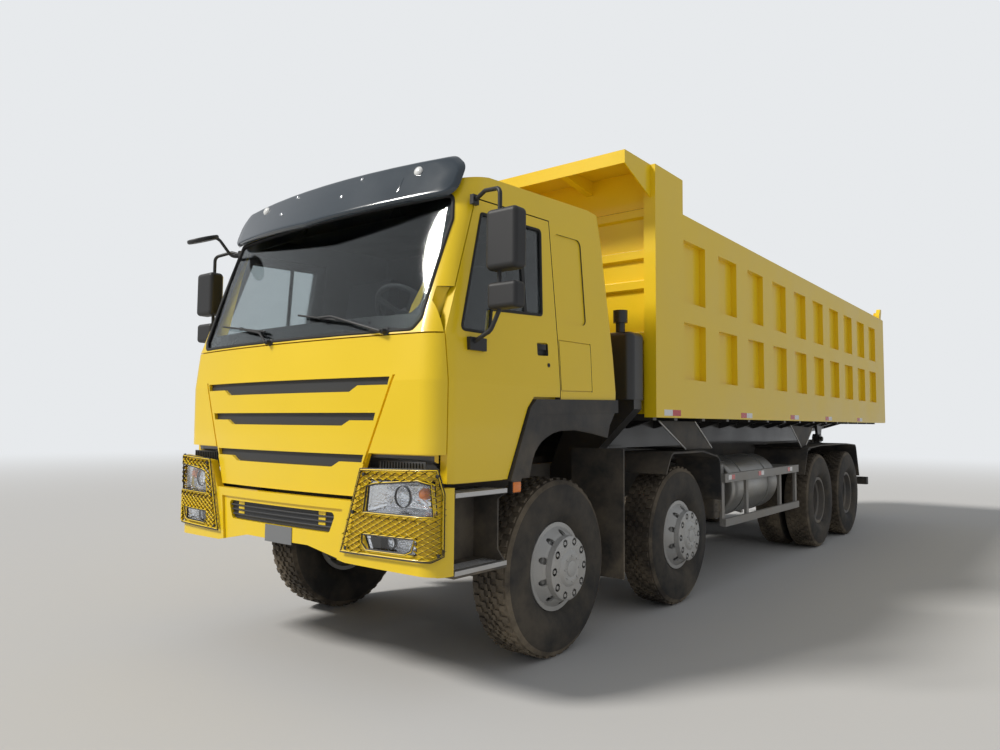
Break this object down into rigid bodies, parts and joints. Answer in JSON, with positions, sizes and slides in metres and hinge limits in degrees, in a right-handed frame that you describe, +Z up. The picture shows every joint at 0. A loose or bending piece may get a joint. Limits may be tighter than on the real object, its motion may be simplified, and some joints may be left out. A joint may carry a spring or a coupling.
{
  "type": "four-axle cab-over dump truck",
  "caption": "Cab-over dump truck with two steered front axles, a twin-tyred rear tandem, a tilting cab and a tipping steel body raised by a front telescopic hoist.",
  "frame": {"origin": "on the ground, on the centre line, half way between the front and the rear end", "axes": "+Y towards the rear, +X towards the truck's left, +Z up"},
  "size_m": [3.09, 10.7219, 3.49],
  "materials": {
    "chassis_black": "satin",
    "iron": "rough",
    "tank_grey": "satin",
    "side_silver": "satin",
    "tank_black": "gloss",
    "plastic_black": "matte",
    "body_yellow": "gloss",
    "lamp_glass": "clear",
    "glass": "clear",
    "visor_blue": "gloss",
    "seat_fabric": "matte",
    "dash_grey": "matte",
    "mirror_black": "gloss",
    "rod_steel": "satin",
    "wheel_silver": "satin",
    "tyre": "matte",
    "wheel_dark": "satin"
  },
  "bodies": {
    "chassis": {"frame": "chassis_black", "axles": "iron", "leaf_springs": "iron", "driveline": "iron", "fuel_tank": "tank_grey", "chassis_boxes": "tank_grey", "side_guards": "side_silver", "oil_tank": "tank_black", "rear_bar": "chassis_black", "exhaust": "iron", "steps": "plastic_black", "mudguards": "plastic_black", "bumper": "body_yellow", "lamps": "lamp_glass", "lamp_guards": "body_yellow"},
    "cab": {"cab_shell": "body_yellow", "windshield": "glass", "visor": "visor_blue", "arch_liners": "plastic_black", "seats": "seat_fabric", "dashboard": "dash_grey", "front_mirror": "mirror_black"},
    "lid": {"front_lid": "body_yellow", "grille": "plastic_black"},
    "bed": {"bed_floor": "body_yellow", "bed_sides": "body_yellow", "bed_front": "body_yellow"},
    "tailgate": {"tailgate": "body_yellow"},
    "hoist_barrel": {"hoist_barrel": "chassis_black"},
    "hoist_stage_1": {"hoist_stage_1": "rod_steel"},
    "hoist_stage_2": {"hoist_stage_2": "rod_steel"},
    "hoist_stage_3": {"hoist_stage_3": "rod_steel"},
    "hoist_rod": {"hoist_rod": "rod_steel"},
    "door_left": {"door_left": "body_yellow", "door_glass_left": "glass", "mirrors_left": "mirror_black"},
    "door_right": {"door_right": "body_yellow", "door_glass_right": "glass", "mirrors_right": "mirror_black"},
    "knuckle_1_left": {"knuckle_1_left": "iron"},
    "wheel_1_left": {"wheel_1_left": "wheel_silver", "tyre_1_left": "tyre"},
    "knuckle_1_right": {"knuckle_1_right": "iron"},
    "wheel_1_right": {"wheel_1_right": "wheel_silver", "tyre_1_right": "tyre"},
    "knuckle_2_left": {"knuckle_2_left": "iron"},
    "wheel_2_left": {"wheel_2_left": "wheel_silver", "tyre_2_left": "tyre"},
    "knuckle_2_right": {"knuckle_2_right": "iron"},
    "wheel_2_right": {"wheel_2_right": "wheel_silver", "tyre_2_right": "tyre"},
    "wheels_3_left": {"wheels_3_left": "wheel_dark", "tyres_3_left": "tyre"},
    "wheels_3_right": {"wheels_3_right": "wheel_dark", "tyres_3_right": "tyre"},
    "wheels_4_left": {"wheels_4_left": "wheel_dark", "tyres_4_left": "tyre"},
    "wheels_4_right": {"wheels_4_right": "wheel_dark", "tyres_4_right": "tyre"}
  },
  "joints": [
    {"name": "steer_1_left", "type": "hinge", "parent": "chassis", "child": "knuckle_1_left", "pos_m": [0.85, -4.027, 0.56], "axis": [0, 0, 1], "range_deg": [-35, 35]},
    {"name": "steer_1_right", "type": "hinge", "parent": "chassis", "child": "knuckle_1_right", "pos_m": [-0.85, -4.027, 0.56], "axis": [0, 0, 1], "range_deg": [-35, 35]},
    {"name": "steer_2_left", "type": "hinge", "parent": "chassis", "child": "knuckle_2_left", "pos_m": [0.85, -2.227, 0.56], "axis": [0, 0, 1], "range_deg": [-24.5, 24.5]},
    {"name": "steer_2_right", "type": "hinge", "parent": "chassis", "child": "knuckle_2_right", "pos_m": [-0.85, -2.227, 0.56], "axis": [0, 0, 1], "range_deg": [-24.5, 24.5]},
    {"name": "roll_1_left", "type": "hinge", "parent": "knuckle_1_left", "child": "wheel_1_left", "pos_m": [1.011, -4.027, 0.56], "axis": [1, 0, 0], "continuous": true},
    {"name": "roll_1_right", "type": "hinge", "parent": "knuckle_1_right", "child": "wheel_1_right", "pos_m": [-1.011, -4.027, 0.56], "axis": [1, 0, 0], "continuous": true},
    {"name": "roll_2_left", "type": "hinge", "parent": "knuckle_2_left", "child": "wheel_2_left", "pos_m": [1.011, -2.227, 0.56], "axis": [1, 0, 0], "continuous": true},
    {"name": "roll_2_right", "type": "hinge", "parent": "knuckle_2_right", "child": "wheel_2_right", "pos_m": [-1.011, -2.227, 0.56], "axis": [1, 0, 0], "continuous": true},
    {"name": "roll_3_left", "type": "hinge", "parent": "chassis", "child": "wheels_3_left", "pos_m": [0.915, 1.598, 0.56], "axis": [1, 0, 0], "continuous": true},
    {"name": "roll_3_right", "type": "hinge", "parent": "chassis", "child": "wheels_3_right", "pos_m": [-0.915, 1.598, 0.56], "axis": [1, 0, 0], "continuous": true},
    {"name": "roll_4_left", "type": "hinge", "parent": "chassis", "child": "wheels_4_left", "pos_m": [0.915, 2.948, 0.56], "axis": [1, 0, 0], "continuous": true},
    {"name": "roll_4_right", "type": "hinge", "parent": "chassis", "child": "wheels_4_right", "pos_m": [-0.915, 2.948, 0.56], "axis": [1, 0, 0], "continuous": true},
    {"name": "cab_tilt", "type": "hinge", "parent": "chassis", "child": "cab", "pos_m": [0, -5.242, 1.14], "axis": [1, 0, 0], "range_deg": [0, 45]},
    {"name": "front_lid", "type": "hinge", "parent": "cab", "child": "lid", "pos_m": [0, -5.312, 1.936], "axis": [-1, 0, 0], "range_deg": [0, 70]},
    {"name": "door_left", "type": "hinge", "parent": "cab", "child": "door_left", "pos_m": [1.21, -5.164, 1.5], "axis": [0, 0, -1], "range_deg": [0, 70]},
    {"name": "door_right", "type": "hinge", "parent": "cab", "child": "door_right", "pos_m": [-1.21, -5.164, 1.5], "axis": [0, 0, 1], "range_deg": [0, 70]},
    {"name": "bed_tip", "type": "hinge", "parent": "chassis", "child": "bed", "pos_m": [0, 4.223, 1.265], "axis": [-1, 0, 0], "range_deg": [0, 45]},
    {"name": "tailgate_swing", "type": "hinge", "parent": "bed", "child": "tailgate", "pos_m": [0, 5.323, 3.3], "axis": [1, 0, 0], "range_deg": [0, 60]},
    {"name": "hoist_swing", "type": "hinge", "parent": "chassis", "child": "hoist_barrel", "pos_m": [0, -3.097, 1.13], "axis": [-1, 0, 0], "range_deg": [0, 27.11]},
    {"name": "hoist_slide_1", "type": "slide", "parent": "hoist_barrel", "child": "hoist_stage_1", "axis": [0, 0, 1], "range_m": [0, 1.3752]},
    {"name": "hoist_slide_2", "type": "slide", "parent": "hoist_stage_1", "child": "hoist_stage_2", "axis": [0, 0, 1], "range_m": [0, 1.3752]},
    {"name": "hoist_slide_3", "type": "slide", "parent": "hoist_stage_2", "child": "hoist_stage_3", "axis": [0, 0, 1], "range_m": [0, 1.3752]},
    {"name": "hoist_slide_4", "type": "slide", "parent": "hoist_stage_3", "child": "hoist_rod", "axis": [0, 0, 1], "range_m": [0, 1.3752]}
  ],
  "couplings": [
    {"joint": "steer_1_right", "follows": "steer_1_left", "ratio": 1},
    {"joint": "steer_2_left", "follows": "steer_1_left", "ratio": 0.7},
    {"joint": "steer_2_right", "follows": "steer_1_left", "ratio": 0.7},
    {"joint": "hoist_swing", "follows": "bed_tip", "ratio": 0.598},
    {"joint": "hoist_slide_1", "follows": "bed_tip", "m_per_rad": 1.7485},
    {"joint": "hoist_slide_2", "follows": "bed_tip", "m_per_rad": 1.7485},
    {"joint": "hoist_slide_3", "follows": "bed_tip", "m_per_rad": 1.7485},
    {"joint": "hoist_slide_4", "follows": "bed_tip", "m_per_rad": 1.7485}
  ]
}
